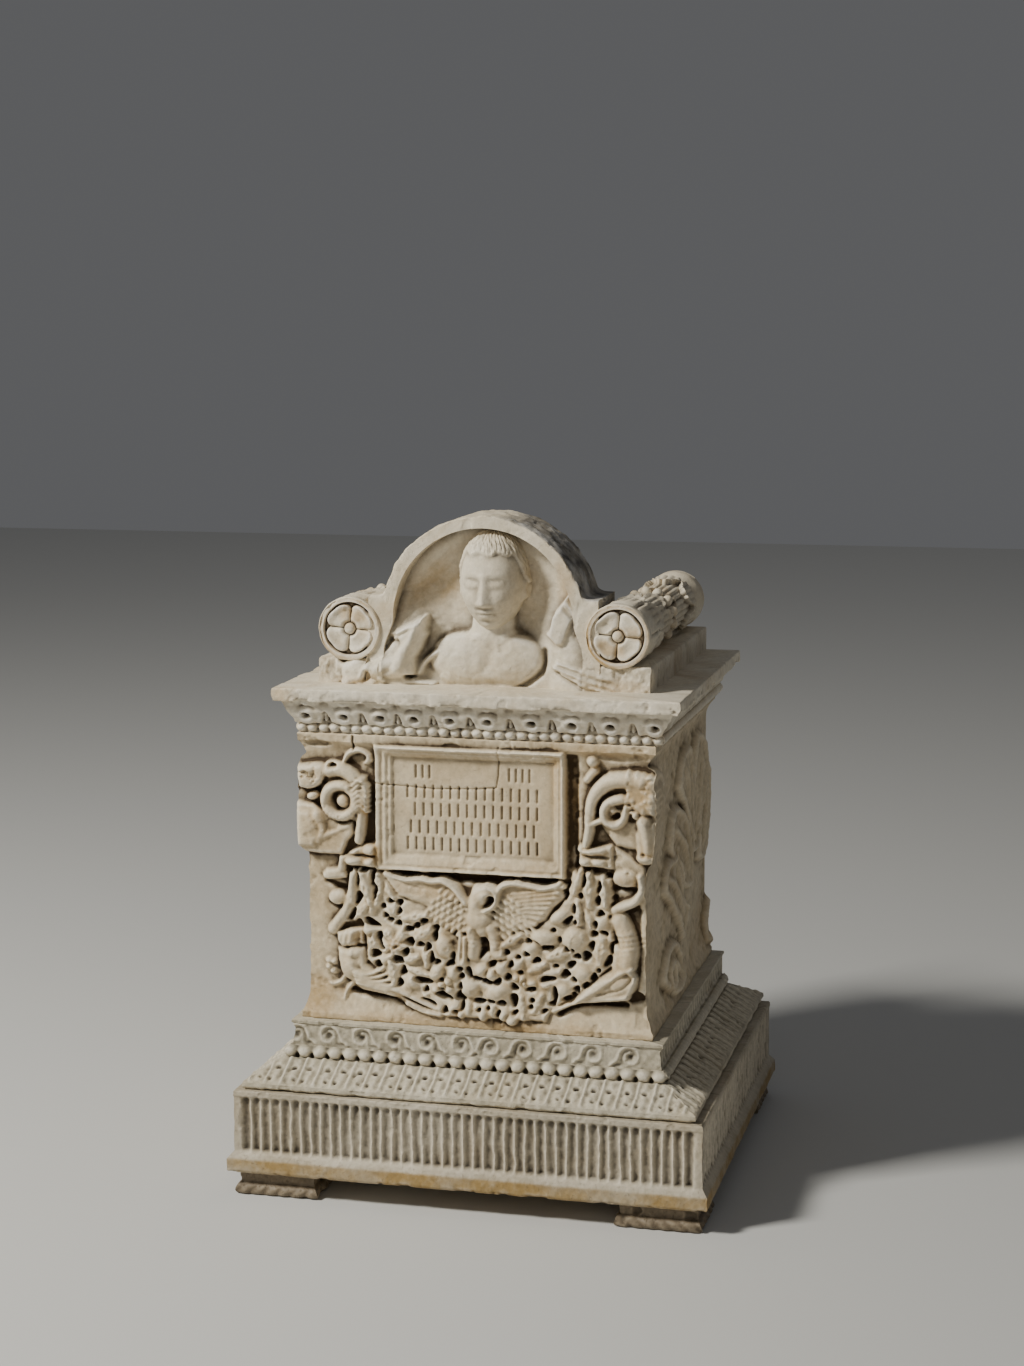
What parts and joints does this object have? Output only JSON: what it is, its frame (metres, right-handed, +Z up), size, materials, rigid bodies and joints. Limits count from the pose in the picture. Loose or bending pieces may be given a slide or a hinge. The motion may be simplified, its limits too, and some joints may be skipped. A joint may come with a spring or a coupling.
{
  "type": "marble cinerary urn",
  "caption": "Square marble ash chest with relief-carved walls and a lift-off lid with a round gable and two bolsters, on a moulded base and a fluted plinth with feet.",
  "frame": {"origin": "on the ground, under the middle of the plinth", "axes": "+Z up, the carved front with the tablet faces -Y, +X to the viewer's right"},
  "size_m": [0.452, 0.422, 0.6307],
  "materials": {
    "lid_marble": "weathered cream marble with golden stains",
    "chest_marble": "warm cream marble, brown in the recesses",
    "base_marble": "cool light grey marble",
    "plinth_marble": "grey-beige marble with a yellow-brown lower edge",
    "foot_stone": "brown worn stone with light edges"
  },
  "bodies": {
    "root": {"lid": "lid_marble", "urn_chest": "chest_marble", "moulded_base": "base_marble", "fluted_plinth": "plinth_marble", "foot_front_left": "foot_stone", "foot_front_right": "foot_stone", "foot_back_left": "foot_stone", "foot_back_right": "foot_stone"}
  },
  "joints": []
}
